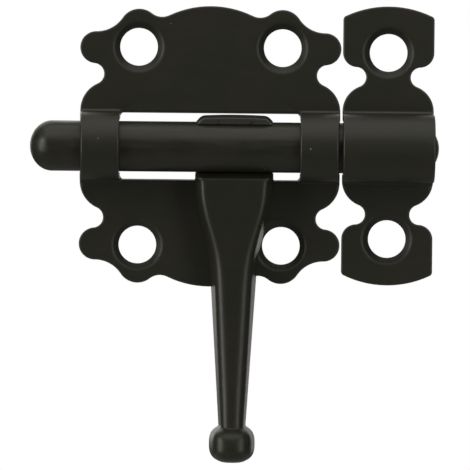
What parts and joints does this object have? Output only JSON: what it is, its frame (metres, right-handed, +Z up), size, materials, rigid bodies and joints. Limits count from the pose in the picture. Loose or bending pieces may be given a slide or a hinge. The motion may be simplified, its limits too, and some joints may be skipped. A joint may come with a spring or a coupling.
{
  "type": "toggle bolt latch",
  "caption": "Surface-mounted slide bolt: a scalloped plate with pressed bridges guides a round bolt, worked by a hanging handle hooked round it, into a keeper plate.",
  "frame": {"origin": "middle of the door plate's four screw holes, on the door's face, behind the bolt's axis", "axes": "+X along the bolt towards the keeper, +Z up, +Y into the door, so the front of the latch faces -Y"},
  "size_m": [0.0812, 0.0137, 0.091],
  "materials": {
    "plate_coat": "satin black powder coat on pressed sheet",
    "bolt_coat": "satin black coat, rubbed a little along the travel",
    "handle_coat": "satin black powder coat on a pressed handle"
  },
  "bodies": {
    "plate": {"door_plate": "plate_coat"},
    "bolt": {"bolt": "bolt_coat"},
    "handle": {"handle": "handle_coat"},
    "keeper": {"keeper": "plate_coat"}
  },
  "joints": [
    {"name": "bolt_slide", "type": "slide", "parent": "plate", "child": "bolt", "axis": [1, 0, 0], "range_m": [-0.0148, 0.005]},
    {"name": "handle_swing", "type": "hinge", "parent": "bolt", "child": "handle", "pos_m": [0.0049, -0.0069, 0], "axis": [-1, 0, 0], "range_deg": [0, 180]},
    {"name": "keeper_gap", "type": "slide", "parent": "plate", "child": "keeper", "axis": [1, 0, 0], "range_m": [0, 0.019]}
  ]
}
